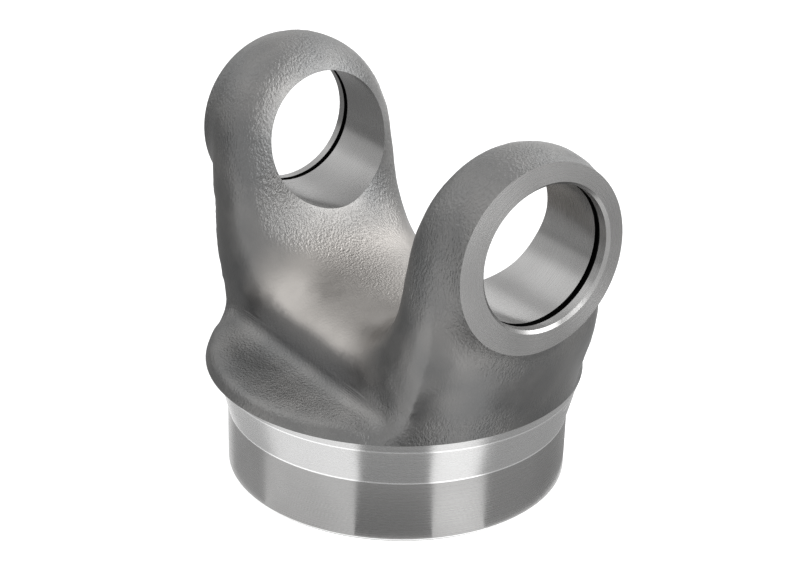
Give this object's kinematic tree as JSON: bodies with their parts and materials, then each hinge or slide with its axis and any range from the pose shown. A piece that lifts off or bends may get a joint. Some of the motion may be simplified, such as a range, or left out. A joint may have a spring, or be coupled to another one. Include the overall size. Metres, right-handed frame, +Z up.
{
  "type": "weld yoke",
  "caption": "Forged steel weld yoke for a drive shaft: round stepped hub that plugs into a tube, and two rounded ears with in-line bearing bores and snap ring grooves.",
  "frame": {"origin": "centre of the hub's bottom face, on the turned axis", "axes": "+Z up the shaft axis from the hub to the ears, +X along the cross bore"},
  "size_m": [0.11, 0.0932, 0.0987],
  "materials": {
    "forged_steel": "satin forged skin, bright where machined"
  },
  "bodies": {
    "root": {"forged_yoke": "forged_steel"}
  },
  "joints": []
}
